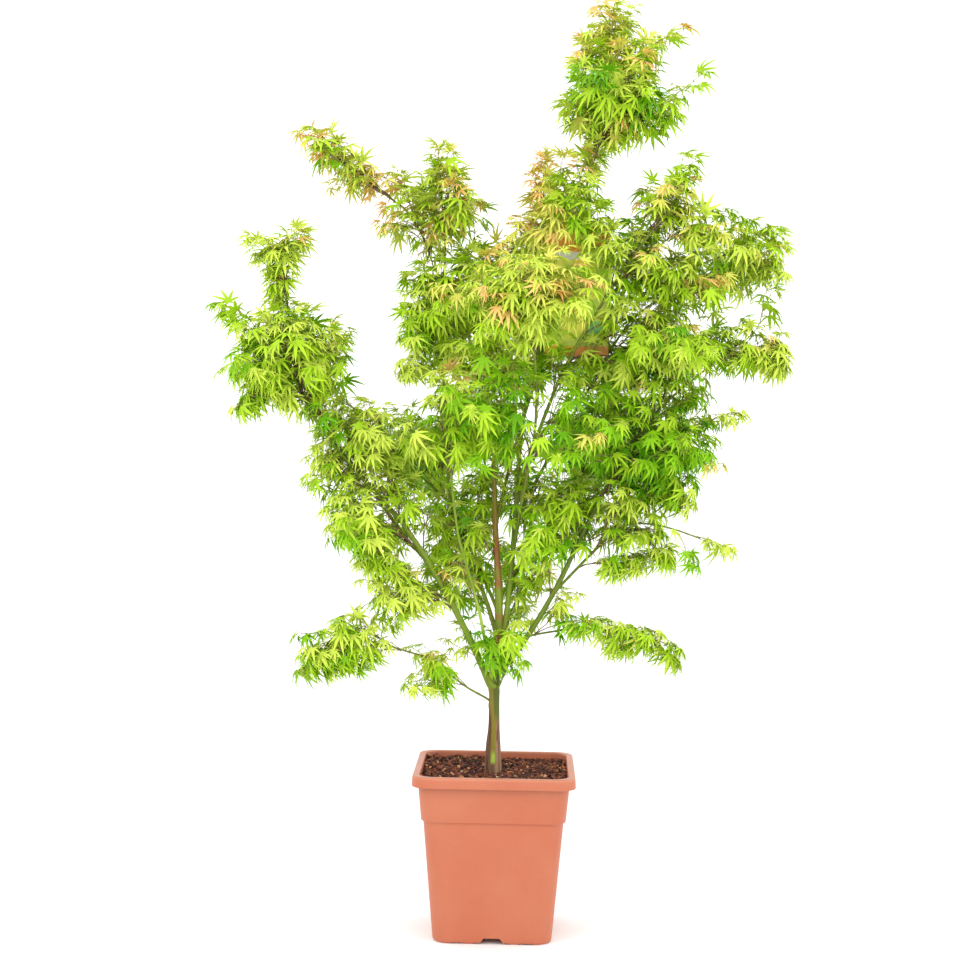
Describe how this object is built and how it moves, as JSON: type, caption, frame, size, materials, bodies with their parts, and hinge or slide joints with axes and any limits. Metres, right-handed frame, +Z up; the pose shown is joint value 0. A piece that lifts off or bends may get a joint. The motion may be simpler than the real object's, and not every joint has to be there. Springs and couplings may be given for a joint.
{
  "type": "potted japanese maple",
  "caption": "Young japanese maple with upright, spreading boughs and open sprays of lobed green leaves, planted in a square tapered plastic nursery pot that stands on its flat underside.",
  "frame": {"origin": "on the ground, at the centre of the pot's underside, where its middle foot stands", "axes": "+Z up along the trunk, -Y towards the front of the plant, +X to its right as seen from the front"},
  "size_m": [0.8622, 0.5472, 1.4108],
  "materials": {
    "pot": "moulded, satin, terracotta orange",
    "potting_mix": "loose dark brown bark chips with tan and white specks",
    "trunk_bark": "smooth young bark, grey brown at the foot, bright green stripe, olive above",
    "bough_bark": "smooth green bark, brown on the thin shoots",
    "leaves": "thin lobed leaves, bright green to yellow green, peach at the shoot tips",
    "card": "thin satin card, orange border round a plain yellow green field"
  },
  "bodies": {
    "root": {"pot": "pot", "soil": "potting_mix", "trunk": "trunk_bark", "bough_back": "bough_bark", "bough_back_left": "bough_bark", "bough_back_right": "bough_bark", "bough_centre_left": "bough_bark", "bough_front": "bough_bark", "bough_left": "bough_bark", "bough_left_spire": "bough_bark", "bough_left_twin": "bough_bark", "bough_main": "bough_bark", "bough_middle_spire": "bough_bark", "bough_right": "bough_bark", "bough_right_arm": "bough_bark", "bough_right_low": "bough_bark", "bough_right_upper": "bough_bark", "bough_shoulder": "bough_bark", "bough_upper_arm": "bough_bark", "stem_front_left": "bough_bark", "stem_low_centre": "bough_bark", "stem_low_left": "bough_bark", "stem_low_right": "bough_bark", "hang_card": "card", "leaves_back": "leaves", "leaves_back_left": "leaves", "leaves_back_neck": "leaves", "leaves_back_right": "leaves", "leaves_centre_left": "leaves", "leaves_centre_right": "leaves", "leaves_far_left": "leaves", "leaves_far_right": "leaves", "leaves_front": "leaves", "leaves_front_drape": "leaves", "leaves_front_left": "leaves", "leaves_left_flank": "leaves", "leaves_left_head": "leaves", "leaves_left_knot": "leaves", "leaves_left_shoulder": "leaves", "leaves_left_skirt": "leaves", "leaves_left_spire": "leaves", "leaves_low_centre": "leaves", "leaves_low_left": "leaves", "leaves_low_right": "leaves", "leaves_middle_spire": "leaves", "leaves_right": "leaves", "leaves_right_arm": "leaves", "leaves_right_drop": "leaves", "leaves_right_flank": "leaves", "leaves_right_low_arm": "leaves", "leaves_right_middle": "leaves", "leaves_right_skirt": "leaves", "leaves_right_spire": "leaves", "leaves_right_upper": "leaves", "leaves_top": "leaves", "leaves_top_neck": "leaves", "leaves_top_tip": "leaves", "leaves_upper_arm": "leaves", "leaves_upper_fringe": "leaves", "leaves_upper_left": "leaves"}
  },
  "joints": []
}
